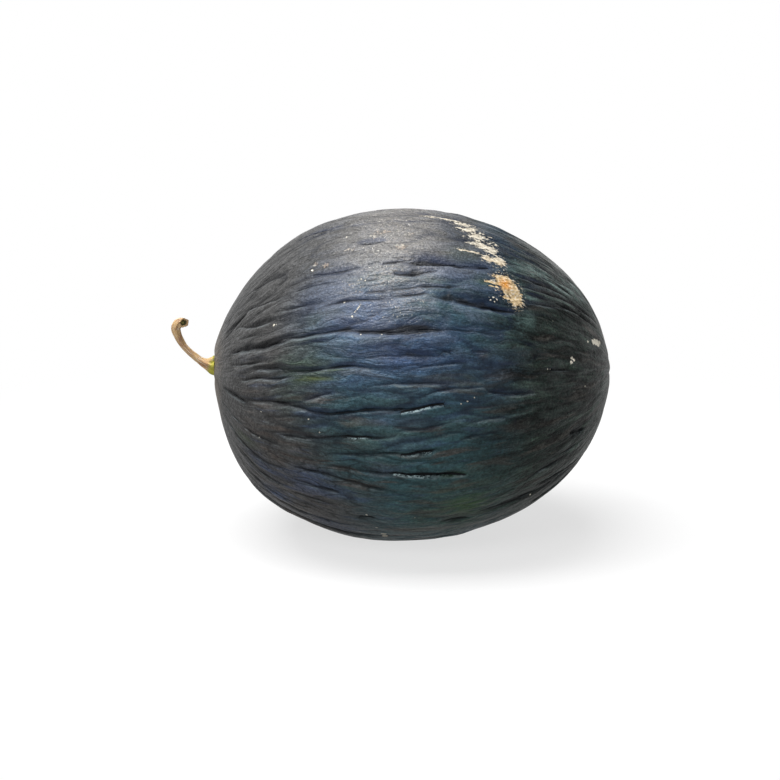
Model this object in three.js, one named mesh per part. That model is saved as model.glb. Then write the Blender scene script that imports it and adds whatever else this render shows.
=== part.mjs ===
// A dark, wrinkled winter melon lying on its side, with the dried stub of its stem.
//
// Millimetres, +Z up. +X runs along the melon, from its stem end to its blossom end.
// The origin is on the flat patch that the melon lies on, under the middle of its length.

import * as THREE from "three";
import { mergeVertices } from "three/addons/utils/BufferGeometryUtils.js";

// The melon's size
const HALF_LENGTH = 100;
const RADIUS = 84; // at the widest ring, before the foot is flattened
const FOOT_FLATTENED = 2; // how far its own weight has pressed the underside in

// How its outline differs from an ellipse
const STEM_HALF_FULLNESS = 0.05; // share by which the stem half is the plumper one
const END_FULLNESS = 0.04; // share by which both ends are blunter
const BELLY_SAG = 2.7; // the stem end's underside hangs this much lower
const BELLY_AT = 0.82; // where it hangs lowest, as a share of the half length
const BELLY_SPREAD = 0.2;
const STEM_SEAT_RISE = 5.7; // the stem grows a little above the middle of its end
const SEAT_SHARPNESS = 24; // a higher power keeps that rise nearer the end
const BLOSSOM_RISE = 1; // the blossom end turns up by this much
const BLOSSOM_SHARPNESS = 6;

// Shallow ribs, and the dimple that the stem sits in
const RIBS = 10;
const RIB_DEPTH = 0.7;
const DIMPLE_DEPTH = 1.6;
const DIMPLE_RADIUS = 6.5;

// Facets of the melon
const RINGS = 42; // from end to end
const SECTORS = 64; // round the girth
const CROWD_AT_ENDS = 0.6; // 0 spaces the rings evenly, towards 1 they crowd at the ends

// The stem: its centreline as [along X, across Y, above the melon's middle], and its thickness
const STEM_GAP = 0.3; // clear space between the stem's base and its seat
const STEM_ROUTE = [
  [-99.2, 0, 4.5],
  [-100.8, 0, 4.6],
  [-104.6, 0, 6.4],
  [-108.6, -0.1, 9.2],
  [-113.4, -0.4, 13.9],
  [-116.8, -0.8, 19.2],
  [-118.2, -1.2, 24.0],
  [-117.5, -1.6, 26.5],
  [-116.0, -2.2, 27.8],
  [-114.0, -3.0, 27.8],
];
const STEM_STEPS = 36;
const STEM_SIDES = 20;
const STEM_MIDDLE_RADIUS = 1.85;
const STEM_BASE_FLARE = 2.6; // added to the radius where it joins the melon
const FLARE_LENGTH = 0.11; // share of the stem's length over which the flare dies away
const STEM_TIP_SWELL = 0.5; // added to the radius at the cut end
const SWELL_POWER = 3;
const STEM_RIDGES = 5;
const RIDGE_SHARE = 0.08; // height of a ridge as a share of the radius

const RIND = new THREE.MeshStandardMaterial({ color: 0x333d40, roughness: 0.5, metalness: 0 });
const DRY_STEM = new THREE.MeshStandardMaterial({ color: 0xa9814f, roughness: 0.8, metalness: 0 });

const MIDDLE_HEIGHT = RADIUS - FOOT_FLATTENED; // of the melon's middle above the surface

// The melon's radius at u, which runs from -1 at the stem end to 1 at the blossom end.
function radiusAt(u) {
  const fullness = 1 - STEM_HALF_FULLNESS * u + END_FULLNESS * u * u;
  return RADIUS * Math.sqrt(Math.max(0, 1 - u * u)) * fullness;
}

// How far the centre of the ring at u stands above the melon's middle.
function riseAt(u) {
  const towardsStem = Math.max(0, -u);
  const towardsBlossom = Math.max(0, u);
  const sag = BELLY_SAG * Math.exp(-(((towardsStem - BELLY_AT) / BELLY_SPREAD) ** 2));
  const seat = STEM_SEAT_RISE * towardsStem ** SEAT_SHARPNESS;
  return seat - sag + BLOSSOM_RISE * towardsBlossom ** BLOSSOM_SHARPNESS;
}

// Moves a point of a unit ball, whose axis is X, to the melon's skin.
function toSkin(ball, skin) {
  const u = THREE.MathUtils.clamp(ball.x, -1, 1);
  const girth = Math.hypot(ball.y, ball.z);
  const fromBelow = Math.atan2(ball.y, -ball.z); // so that the melon lies on a rib's crest
  const rib = RIB_DEPTH * girth * girth * (0.5 - 0.5 * Math.cos(RIBS * fromBelow));
  const radius = Math.max(0, radiusAt(u) - rib);
  const dimple = DIMPLE_DEPTH * Math.exp(-((radius / DIMPLE_RADIUS) ** 2));
  const across = girth > 0 ? radius / girth : 0;
  skin.set(
    u * HALF_LENGTH + (u < 0 ? dimple : 0),
    ball.y * across,
    MIDDLE_HEIGHT + riseAt(u) + ball.z * across,
  );
  skin.z = Math.max(0, skin.z); // the patch that it lies on
}

// Leaves one vertex where several coincide, and works out the normals again.
function closed(geometry) {
  geometry.deleteAttribute("normal");
  geometry.deleteAttribute("uv");
  const merged = mergeVertices(geometry, 1e-3);
  merged.computeVertexNormals();
  return merged;
}

// Calls shape(from, to) on each vertex of the geometry and moves the vertex to what it sets.
function moveVertices(geometry, shape) {
  const places = geometry.getAttribute("position");
  const from = new THREE.Vector3();
  const to = new THREE.Vector3();
  for (let i = 0; i < places.count; i++) {
    shape(from.fromBufferAttribute(places, i), to);
    places.setXYZ(i, to.x, to.y, to.z);
  }
}

function fruitGeometry() {
  const profile = [];
  for (let i = 0; i <= RINGS; i++) {
    const even = i / RINGS;
    const crowded = (CROWD_AT_ENDS * Math.sin(2 * Math.PI * even)) / (2 * Math.PI);
    const angle = Math.PI * (even - crowded);
    const atEnd = i === 0 || i === RINGS;
    profile.push(new THREE.Vector2(atEnd ? 0 : Math.sin(angle), -Math.cos(angle)));
  }
  const geometry = new THREE.LatheGeometry(profile, SECTORS);
  geometry.rotateZ(-Math.PI / 2); // the axis of the lathe is Y
  moveVertices(geometry, toSkin);
  return closed(geometry);
}

// The stem's radius at a share of its length, from 0 at the melon to 1 at the cut end.
function stemRadiusAt(share) {
  const flare = STEM_BASE_FLARE * Math.exp(-share / FLARE_LENGTH);
  return STEM_MIDDLE_RADIUS + flare + STEM_TIP_SWELL * share ** SWELL_POWER;
}

function stemGeometry() {
  const route = new THREE.CatmullRomCurve3(
    STEM_ROUTE.map(([x, y, z]) => new THREE.Vector3(x - STEM_GAP, y, MIDDLE_HEIGHT + z)),
  );
  const frames = route.computeFrenetFrames(STEM_STEPS);
  // A straight stem first, one unit tall for each step of the route
  const profile = [new THREE.Vector2(0, 0)];
  for (let step = 0; step <= STEM_STEPS; step++) {
    profile.push(new THREE.Vector2(stemRadiusAt(step / STEM_STEPS), step));
  }
  profile.push(new THREE.Vector2(0, STEM_STEPS));
  const geometry = new THREE.LatheGeometry(profile, STEM_SIDES);
  // Then each of its rings is set square across the route.
  moveVertices(geometry, (from, to) => {
    const step = Math.round(from.y);
    const ridge = 1 + RIDGE_SHARE * Math.cos(STEM_RIDGES * Math.atan2(from.x, from.z));
    to.copy(route.getPointAt(step / STEM_STEPS));
    to.addScaledVector(frames.normals[step], from.z * ridge);
    to.addScaledVector(frames.binormals[step], from.x * ridge);
  });
  return closed(geometry);
}

const group = new THREE.Group();

const fruit = new THREE.Mesh(fruitGeometry(), RIND);
fruit.name = "fruit";
group.add(fruit);

const stem = new THREE.Mesh(stemGeometry(), DRY_STEM);
stem.name = "stem";
group.add(stem);

export default group;
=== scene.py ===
"""A dark, wrinkled winter melon lying on its side, with the dried stub of its stem.

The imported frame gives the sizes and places. Two operators model the pieces, one sets the stage,
and main() calls them in order.
"""
import functools
import itertools
import math
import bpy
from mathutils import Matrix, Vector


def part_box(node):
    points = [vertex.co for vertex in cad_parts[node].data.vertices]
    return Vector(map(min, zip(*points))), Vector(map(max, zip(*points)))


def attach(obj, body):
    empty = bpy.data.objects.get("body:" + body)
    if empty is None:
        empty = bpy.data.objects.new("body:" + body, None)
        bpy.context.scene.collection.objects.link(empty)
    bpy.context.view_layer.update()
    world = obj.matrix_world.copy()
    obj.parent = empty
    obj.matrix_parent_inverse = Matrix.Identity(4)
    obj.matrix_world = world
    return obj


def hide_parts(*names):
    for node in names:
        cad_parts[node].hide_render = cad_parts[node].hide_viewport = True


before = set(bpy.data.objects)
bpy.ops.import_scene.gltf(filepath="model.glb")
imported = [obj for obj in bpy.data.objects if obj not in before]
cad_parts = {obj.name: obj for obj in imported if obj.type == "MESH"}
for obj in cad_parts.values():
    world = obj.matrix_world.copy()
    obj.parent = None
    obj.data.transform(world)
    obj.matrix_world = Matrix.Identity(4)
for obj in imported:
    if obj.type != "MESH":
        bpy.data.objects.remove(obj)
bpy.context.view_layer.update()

from types import SimpleNamespace

import bpy
import numpy as np
from bpy.props import FloatProperty, FloatVectorProperty, IntProperty, PointerProperty
from mathutils import Vector

bl_info = {
    "name": "Winter Melon",
    "version": (1, 0, 0),
    "blender": (4, 5, 0),
    "location": "3D View > Sidebar > Melon",
    "description": "Models a wrinkled winter melon and its dried stem",
    "category": "Add Mesh",
}

MM = 0.001
FRUIT_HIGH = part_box("fruit")[1]

# The melon's outline, as the frame's solid has it
FOOT_FLATTENED = 2 * MM
STEM_HALF_FULLNESS = 0.05
END_FULLNESS = 0.04
BELLY_SAG = 2.7 * MM
BELLY_AT = 0.82
BELLY_SPREAD = 0.2
STEM_SEAT_RISE = 5.7 * MM
SEAT_SHARPNESS = 24
BLOSSOM_RISE = 1 * MM
BLOSSOM_SHARPNESS = 6
DIMPLE_DEPTH = 1.6 * MM
DIMPLE_RADIUS = 6.5 * MM

# The folds come together behind the middle of the blossom end, where the flower's scar is.
FOLDS_MEET = 9 * MM
FOLDS_MEET_SHARPNESS = 10


# ---- Sizes and colours

def srgb(hexa):
    """The linear red, green and blue of a colour written as six hexadecimal digits."""
    parts = [int(hexa[i:i + 2], 16) / 255 for i in (0, 2, 4)]
    return tuple(c / 12.92 if c <= 0.04045 else ((c + 0.055) / 1.055) ** 2.4 for c in parts)


def hue(name, description, hexa):
    return FloatVectorProperty(
        name=name, description=description, subtype="COLOR", size=3,
        min=0.0, max=1.0, default=srgb(hexa))


def size(name, description, millimetres):
    return FloatProperty(
        name=name, description=description, unit="LENGTH", default=millimetres * MM)


class MelonFruitSettings(bpy.types.PropertyGroup):
    half_length: FloatProperty(
        name="Half Length", description="From the middle to the blossom end",
        unit="LENGTH", default=FRUIT_HIGH.x)
    radius: FloatProperty(
        name="Radius", description="At the widest ring, before the foot is flattened",
        unit="LENGTH", default=(FRUIT_HIGH.z + FOOT_FLATTENED) / 2)
    sectors: IntProperty(
        name="Sectors", description="Faces round the girth", default=760, min=64)
    rings: IntProperty(
        name="Rings", description="Faces from end to end", default=130, min=32)
    swell: size("Swell", "Height of the broad, soft undulations", 0.8)
    fold: size("Fold", "Height of the main lengthwise folds", 0.88)
    wrinkle: size("Wrinkle", "Height of the fine wrinkles between folds", 0.18)
    lump: size("Lump", "Height of the short, leathery lumps", 0.4)
    pucker: size("Pucker", "Height of the gathers round both ends", 0.7)
    teal: hue("Teal", "Rind round the middle", "345056")
    blue: hue("Blue Bloom", "Wax on the middle's upper side", "384e6e")
    grey: hue("Grey Bloom", "Dull wax near the stem end", "464646")
    deep: hue("Deep Green", "Rind towards the blossom end", "151f1c")
    navy: hue("Navy", "Shaded flanks of the folds", "1c2b48")
    # Crease: painted shade in the creases, the valleys and the splits' clefts
    dark: hue("Crease", "Rind in the creases", "080a0e")
    dusk: hue("Dusk", "Grey wax on top, over the folds", "5c5b5a")
    slate: hue("Slate", "Darker grey of the top beside the scar", "3a3f46")
    indigo: hue("Indigo", "Bluest patches of the bloom", "3c4e70")
    umber: hue("Umber", "Brownish patches of the rind", "4b4440")
    sage: hue("Sage", "Pale green patches round the scar", "5f7672")
    moss: hue("Moss", "Greener rind low on the front", "38493e")
    olive: hue("Olive", "Dull green patches without wax", "3b4731")
    lime: hue("Lime", "Yellower green along a crease", "5d672c")
    fern: hue("Fern", "Clear green patches without wax", "3a5432")
    # Wax and Haze: wax bloom on the crests, with painted sheen in it
    wax: hue("Wax", "Dull wax on the crests of the upper side", "76726d")
    haze: hue("Haze", "Blue-grey wax on the crests of the front", "5c677a")
    # Worn Edge: painted highlight on the upper edges of folds and the lower edges of creases
    edge_highlight: hue("Worn Edge", "Upper edges of the folds", "70797c")
    chalk: hue("Chalk", "Dust and small dry specks", "d2cec2")
    flake: hue("Flake", "Specks of dried skin", "eee8d8")
    # Split Lip: painted highlight on the lower edge of a split
    lip: hue("Split Lip", "Dried lower edge of a split", "b0c6ca")
    crumb: hue("Crumb", "Rubbed wax", "b5a494")
    cork: hue("Cork", "Dry scar tissue", "c8b089")
    rust: hue("Rust", "Fresh heart of the scar", "d08d3c")
    husk: hue("Husk", "Dry skin round the stem and the flower's scar", "7f7264")


class MelonStemSettings(bpy.types.PropertyGroup):
    middle_radius: size("Middle Radius", "Half the stem's thickness", 1.85)
    base_flare: size("Base Flare", "Added where it joins the melon", 2.6)
    tip_swell: size("Tip Swell", "Added at the cut end", 0.5)
    straw: hue("Straw", "Dry skin of the stem", "caa878")
    brown: hue("Brown", "Pinkish-brown blotches", "a37b5c")
    pale: hue("Pale", "Bleached streaks", "dccab0")
    green: hue("Green", "Still fresh where it joins the melon", "a5a03c")
    hollow: hue("Hollow", "Shadowed rim inside the cut end", "3a3916")
    pith: hue("Pith", "Middle of the cut end", "a39a58")


class MelonStageSettings(bpy.types.PropertyGroup):
    elevation: FloatProperty(
        name="Elevation", description="Camera's height above the horizon",
        subtype="ANGLE", default=math.radians(15))
    distance: size("Distance", "From the camera to the melon", 1150)
    lens: FloatProperty(
        name="Lens", description="Focal length in millimetres on a 36 mm frame",
        default=104.7)
    key_power: FloatProperty(
        name="Key Power", description="Watts of the overhead soft box", default=24.5)
    fill_power: FloatProperty(
        name="Fill Power", description="Watts of the front fill", default=5.0)
    sky: FloatProperty(
        name="Sky", description="Brightness of the even light all round", default=0.25)


# ---- Sculpting helpers

def noise(points, seed):
    """Smooth noise between about -1 and 1 for each row of points, one unit to a lattice cell."""
    random = np.random.default_rng(seed)
    table = random.permutation(256)
    lean = random.normal(size=(256, 3))
    lean /= np.linalg.norm(lean, axis=1, keepdims=True)
    cell = np.floor(points).astype(int)
    inside = points - cell
    ease = inside ** 3 * (inside * (inside * 6 - 15) + 10)
    total = np.zeros(len(points))
    for corner in itertools.product((0, 1), repeat=3):
        x, y, z = ((cell + corner) & 255).T
        entry = table[(table[(table[x] + y) & 255] + z) & 255]  # tables of 256 wrap round
        reach = ((inside - corner) * lean[entry]).sum(axis=1)
        weight = np.where(corner, ease, 1 - ease).prod(axis=1)
        total += weight * reach
    return total * 1.6


def ramp(values, low, high):
    """0 below low, 1 above high and a smooth rise between; low may be the larger."""
    t = np.clip((values - low) / (high - low), 0, 1)
    return t * t * (3 - 2 * t)


def bell(values, middle, spread):
    return np.exp(-((values - middle) / spread) ** 2)


def wrapped(turn, radius, lengthwise):
    """A point for each turn in radians round a tube of that radius, so that noise has no seam."""
    return np.column_stack([np.cos(turn) * radius, np.sin(turn) * radius, lengthwise])


def smooth_through(values, share):
    """A smooth curve through evenly spaced values, read at each share from 0 to 1."""
    values = np.asarray(values, float)
    padded = np.concatenate([values[:1] * 2 - values[1:2], values, values[-1:] * 2 - values[-2:-1]])
    place = np.clip(share, 0, 1) * (len(values) - 1)
    i = np.minimum(place.astype(int), len(values) - 2)
    t = place - i
    if values.ndim > 1:
        t = t[:, None]
    a, b, c, d = (padded[i + k] for k in range(4))
    return 0.5 * (2 * b + (c - a) * t + (2 * a - 5 * b + 4 * c - d) * t ** 2
                  + (3 * b - a - 3 * c + d) * t ** 3)


def read_vertices(mesh, what):
    """One row a vertex: its place for "co", its direction for "normal"."""
    found = np.empty(len(mesh.vertices) * 3, np.float32)
    mesh.vertices.foreach_get(what, found)
    return found.reshape(-1, 3).astype(float)


def set_vertices(mesh, places):
    mesh.vertices.foreach_set("co", places.astype(np.float32).ravel())
    mesh.update()


def store(mesh, name, values):
    """Keeps one number or one vector a vertex as an attribute that a material can read."""
    flat = values.ndim == 1
    kind = "FLOAT" if flat else "FLOAT_VECTOR"
    attribute = mesh.attributes.new(name, kind, "POINT")
    attribute.data.foreach_set("value" if flat else "vector", values.astype(np.float32).ravel())


def new_ball(name, sectors, rings):
    """Adds a unit ball, which keeps its UV map, and returns its object."""
    bpy.ops.object.select_all(action="DESELECT")
    bpy.ops.mesh.primitive_uv_sphere_add(segments=sectors, ring_count=rings, radius=1.0)
    ball = bpy.context.object
    ball.name = name
    ball.data.name = name
    ball.data.uv_layers[0].name = "OFBake"
    return ball


def finish_piece(piece, node, material):
    piece.data.materials.append(material)
    piece.data.shade_smooth()
    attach(piece, "root")
    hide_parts(node)


# ---- The melon's relief

# Creases of the side that faces front: from and to in millimetres along the melon, the angles
# up from the front in degrees at even steps between, the depth and the half width in millimetres.
CREASES = (
    ((-91, -60), (33, 30.8, 29.2, 28.9), 1.6, 1.3),
    ((-65, -42), (29.2, 29, 29.8), 1.1, 1),
    ((-47, -26), (29.2, 29.8, 30.2), 1.4, 1.2),
    ((-36, 18), (30.2, 29, 28.7, 29.2, 29.6), 2.1, 2.2),
    ((10, 44), (29.6, 29.8, 28.8), 0.6, 1.6),
    ((-82, 8), (4.2, 4.6, 2.8, 0.6, 1.8, 3.3, 3.1, 2.7), 1.5, 0.9),
    ((-94, -80), (5, 4, 2), 1.2, 1),
    ((-85, -57), (14.9, 15.4, 14.4, 14.3), 0.9, 0.9),
    ((-62, -13), (16.9, 16, 16.8, 17.4, 16.6, 16.2), 1, 0.9),
    ((-76, -57), (19.4, 18.2, 16.9), 0.7, 0.9),
    ((-52, -37), (5, 7.2, 8.4), 1, 0.9),
    ((-64, -6), (-9.6, -9.3, -7.7, -6.5, -6.4, -5.5), 1.3, 1.1),
    ((-42, 13), (-13.9, -13.6, -12.6, -11.7, -11.6, -10.3), 0.9, 1),
    ((-44, 6), (-19.2, -19.4, -19.8, -20.2), 0.9, 1.5),
    ((-66, -12), (-22.4, -23.7, -23.8, -25.8, -27.4), 1.2, 1.1),
    ((-61, -25), (-30, -31, -31.4, -34.6), 0.8, 1.1),
    ((-60, -36), (-39, -38.3, -39.1), 0.9, 1.2),
    ((-28, -17), (-44, -43), 1.2, 1.6),
    ((13, 29), (-46.6, -48.4), 1.2, 1.8),
    ((32, 84), (-45, -46.4, -48.6, -55), 1.3, 1.8),
    ((60, 84), (-41, -44.6, -52), 0.9, 1.1),
    ((54, 78), (-33, -31.8, -32.4), 0.7, 0.9),
    ((66, 85), (-27.4, -31.4), 0.7, 0.9),
    ((77, 85), (-19.5, -23), 1.8, 1.8),
    ((50, 92), (51.5, 54.6, 57.2, 59.5), 1.9, 1.3),
    ((48, 92), (57, 58, 60.5, 64), 1.6, 1.2),
    ((55, 93), (49, 50.5, 51.5, 52.5), 1.2, 1),
    ((62, 92), (62.5, 64.5, 67), 1.3, 1.1),
    ((46, 84), (70, 71, 73), 1.1, 1.1),
    ((52, 88), (76, 78, 81), 1, 1.1),
    ((58, 86), (66, 68, 73), 0.9, 1),
    ((54, 90), (44.5, 47, 52, 60), 0.9, 1),
    ((8, 50), (41.3, 40.2, 39, 39.4), 1.8, 1.9),
    ((-17, 2), (54, 55.2, 55.6), 1.1, 1),
    ((-5, 23), (54.6, 54.3, 54.8, 56), 1.8, 1.5),
    ((15, 39), (55.2, 55, 55.8, 57), 1.7, 1.5),
    ((-10, 12), (49.8, 50.4, 51.6), 1.6, 1.3),
    ((-25, -9), (42.6, 43.1, 42.2), 0.8, 1),
    ((-12, 8), (41.2, 41.6, 42.6), 1.2, 1.5),
    ((-14, 24), (43.4, 45, 46), 1.1, 2),
    ((-49, -23), (54, 53, 54.2), 0.9, 1.6),
    ((-27, -16), (48.2, 47.6, 48), 0.8, 1.2),
    ((-43, -9), (39.4, 40.4, 39.8), 0.8, 1),
    ((-26, -12), (66, 65.4, 66.8), 1.9, 1.4),
    ((-93, -81), (50, 53.2, 54.4), 1.1, 1.1),
    ((-87, -66), (49.4, 43.6, 40.6, 40), 0.8, 0.8),
    ((-88, -56), (60, 54, 50, 48), 0.6, 0.8),
    ((-84, -60), (70, 65, 61), 0.6, 0.8),
    ((-90, -70), (24, 23, 22.4), 0.6, 0.8),
    ((-85, -72), (39.3, 37.4, 36), 0.6, 0.7),
    ((-69, -41), (43.2, 42.2, 41.6, 41), 0.6, 0.8),
    ((-70, -38), (50.4, 49.4, 48.8, 48.4), 0.6, 0.8),
    ((-27, 18), (20, 20.9, 21, 20.4), 0.9, 2),
    ((12, 20), (22.8, 22.2), 0.8, 1),
    ((27, 37), (23, 22.6), 0.8, 0.9),
    ((-24, 26), (10.2, 11.8, 12, 10.8), 0.6, 1),
    ((-3, 26), (16.6, 17.9, 18.4), 0.6, 0.8),
    ((2, 38), (6.8, 9.6, 10.4, 10.6), 0.8, 0.9),
    ((34, 60), (9.4, 7.4, 7.2), 0.9, 1),
    ((-8, 24), (-4, -2.8, -0.4), 0.7, 0.8),
    ((18, 46), (-9, -6.8, -7.2), 0.6, 0.8),
    ((23, 46), (-3, -1.2, -1.3), 0.6, 0.8),
    ((65, 76), (17, 16.6), 0.9, 0.9),
    ((-94, -62), (-9, -13, -15), 0.6, 0.9),
    ((-92, -60), (-20, -25, -27, -26), 0.7, 0.8),
    ((-88, -56), (-31, -36, -36), 0.6, 1),
    ((-82, -46), (-44, -47, -46), 0.7, 0.9),
    ((-70, -30), (-52, -53, -51), 0.7, 0.9),
)

# Creases that have split a little open and dried with a pale, shiny lower lip
SPLITS = (
    ((-7, 17), (2.2, 3.8, 5.4), 1.8, 0.8),
    ((-7, 11), (-12, -11.8, -11.3), 1.6, 0.8),
    ((-12, 26), (-19.9, -20.5, -20.9, -22), 2, 0.9),
    ((-34, -18), (-6.6, -6.4), 0.8, 0.7),
)

FAR_ABOVE = 9.0  # how far above a crease, in millimetres, a vertex with none near it counts

# Creases of the sides that face up, back and down are drawn at random, but are like these.
HIDDEN_CREASES = 95
HIDDEN_FROM, HIDDEN_TO = 74, 300  # degrees up from the front, over the top and down the back


def hidden_creases():
    """Creases of the sides that don't face front, given as the others are."""
    random = np.random.default_rng(7)
    found = []
    for _ in range(HIDDEN_CREASES):
        start = random.uniform(-92, 60)
        length = random.uniform(12, 26) + random.uniform(0, 1) ** 3 * 60
        angle = random.uniform(HIDDEN_FROM, HIDDEN_TO)
        angles = angle + np.cumsum(random.normal(0, 0.8, 4))
        depth = random.uniform(0.5, 1) ** 2 * 1.6
        half_width = random.uniform(0.9, 1.6)
        found.append(((start, min(start + length, 92)), tuple(angles), depth, half_width))
    return tuple(found)


def crease_fields(creases, along, angle, girth):
    """The creases' effect on each vertex, in millimetres.

    Returns how deep they cut, how raised the skin below them is, how far the vertex lies above
    its nearest crease, and how much that crease counts there, from 0 to 1. along and girth,
    which is the radius there, are in millimetres too, and angle is in degrees."""
    cut = np.zeros(len(along))
    lip = np.zeros(len(along))
    above = np.full(len(along), FAR_ABOVE)
    weight = np.zeros(len(along))
    for (start, end), angles, depth, half_width in creases:
        share = (along - start) / (end - start)
        near = np.flatnonzero((share > 0) & (share < 1))
        path = smooth_through(angles, share[near])
        turn = (angle[near] - path + 180) % 360 - 180
        off = np.radians(turn) * girth[near]
        keep = np.abs(off) < 8 * half_width
        near, off = near[keep], off[keep]
        taper = np.clip(4 * share[near] * (1 - share[near]), 0, 1) ** 0.6
        width = half_width * np.where(off > 0, 1.5, 0.75)  # steeper below than above
        profile = np.exp(-np.abs(off / width) ** 1.3)
        cut[near] = np.maximum(cut[near], 1.2 * depth * taper * profile)
        lip[near] += 0.15 * depth * taper * bell(off, -2.4 * half_width, 1.3 * half_width)
        counts = np.clip(depth * taper, 0, 1) * bell(off, 0, 1.7)
        nearer = counts > weight[near]
        above[near[nearer]] = off[nearer]
        weight[near[nearer]] = counts[nearer]
    return cut, lip, above, weight


# Two rings, in millimetres of radius, between which the folds become fewer towards an end, and
# the radii at which each kind of fold counts fully
MIDDLE_RING, END_RING = 84, 42
MIDDLE_FOLDS_FROM, END_FOLDS_FROM = 62, 36


def fold_noise(at, wavelength, stretch, seed):
    """Noise that runs lengthwise, with fewer folds round the narrow ends than round the middle."""
    def sample(ring, seed):
        return noise(wrapped(at.turned, ring, at.lengthwise / stretch) / wavelength, seed)

    at_end = ramp(at.girth, MIDDLE_FOLDS_FROM, END_FOLDS_FROM)
    blend = sample(MIDDLE_RING, seed) * (1 - at_end) + sample(END_RING, seed + 100) * at_end
    return blend / np.hypot(1 - at_end, at_end)


def crest_of(folds, sharpness):
    """Rounded crests with sharp valleys between, from noise: 0 where it is 0, to 1."""
    return 1 - (1 - np.clip(np.abs(folds) * 1.9, 0, 1)) ** sharpness


# ---- The melon

def melon_radius(share, settings):
    """Radius of the ring at a share of the half length, from -1 at the stem to 1."""
    fullness = 1 - STEM_HALF_FULLNESS * share + END_FULLNESS * share ** 2
    return settings.radius * np.sqrt(np.maximum(0, 1 - share ** 2)) * fullness


def skin_scale(along, turn, settings):
    """Millimetres over the skin for one millimetre along the melon and one degree round it."""
    share = along * MM / settings.half_length
    shift = FOLDS_MEET * max(0, share) ** FOLDS_MEET_SHARPNESS
    turn = math.radians(turn)
    radius = melon_radius(share, settings)
    across = math.sqrt(max(0, radius ** 2 - (shift * math.sin(turn)) ** 2))
    slope = (radius - melon_radius(share - 0.01, settings)) / (0.01 * settings.half_length)
    return math.hypot(1, slope), math.radians((shift * math.cos(turn) + across) / MM)


def melon_rise(share):
    """How far the centre of the ring there stands above the melon's middle."""
    to_stem = np.maximum(0, -share)
    to_blossom = np.maximum(0, share)
    sag = BELLY_SAG * bell(to_stem, BELLY_AT, BELLY_SPREAD)
    seat = STEM_SEAT_RISE * to_stem ** SEAT_SHARPNESS
    return seat - sag + BLOSSOM_RISE * to_blossom ** BLOSSOM_SHARPNESS


SKIN_RADIUS = 92  # millimetres of skin, from end to end, for one radian of the ball it starts as


def smooth_melon(ball, settings):
    """Gives the ball the melon's smooth outline.

    Returns, for each vertex, its place and direction on that body, and coordinates that follow
    the folds, in millimetres: how far along the melon and over its skin it lies, how far out
    from where the folds meet, and its angle up from the front in degrees."""
    mesh = ball.data
    x, y, z = read_vertices(mesh, "co").T
    polar = np.arccos(np.clip(-z, -1, 1))
    polar = polar - 0.1 * np.sin(2 * polar)  # rings a little closer together at the ends
    share = -np.cos(polar)
    front, up = -y, -x  # the ball's seam then runs along the melon's underside
    reach = np.maximum(np.hypot(front, up), 1e-9)
    front, up = front / reach, up / reach
    at_end = np.sin(polar) < 1e-6
    front[at_end], up[at_end] = 1.0, 0.0

    radius = melon_radius(share, settings)
    dimple = np.where(share < 0, DIMPLE_DEPTH * bell(radius, 0, DIMPLE_RADIUS), 0)
    middle = settings.radius - FOOT_FLATTENED
    body = np.column_stack([
        share * settings.half_length + dimple,
        -front * radius,
        middle + melon_rise(share) + up * radius,
    ])
    set_vertices(mesh, body)

    front = front * radius + FOLDS_MEET * np.maximum(0, share) ** FOLDS_MEET_SHARPNESS
    up = up * radius
    girth = np.maximum(np.hypot(front, up), 1e-9)
    return SimpleNamespace(
        body=body,
        outward=read_vertices(mesh, "normal"),
        along=body[:, 0] / MM,
        lengthwise=(polar - math.pi / 2) * SKIN_RADIUS,
        girth=girth / MM,
        angle=(np.degrees(np.arctan2(up / girth, front / girth)) + 90) % 360 - 90,
        widest=settings.radius / MM)


def slackness(at):
    """How loose and wrinkled the rind is: about 1 in the middle, and less where it is taut."""
    slack = 0.6 + 0.4 * ramp(at.along, 60, 14)
    slack *= 0.85 + 0.6 * noise(at.flow / (30, 30, 45), 3)
    slack *= 0.66 + 0.34 * ramp(at.along, -95, -50)
    return slack * (0.75 + 0.25 * ramp(at.outward[:, 2], -0.35, 0.15))


def broken_creases(at, round_girth, sway):
    """What crease_fields gives for all the creases, which waver and are broken up in depth.

    Also adds to at how far above the nearest split it lies, and how much that split counts."""
    wobble = 0.25 * sway + 0.5 * noise(round_girth / (6, 6, 6), 12)
    bent = at.angle + np.degrees(wobble / at.widest)
    every = CREASES + SPLITS + hidden_creases()
    cut, lip, above, weight = crease_fields(every, at.along, bent, at.girth)
    broken = np.clip(0.85 + 0.55 * noise(round_girth / (3.5, 3.5, 6), 13), 0.3, 1.2)
    at.split = crease_fields(SPLITS, at.along, bent, at.girth)[2:]
    return cut * broken, lip, above, weight * broken


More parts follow.
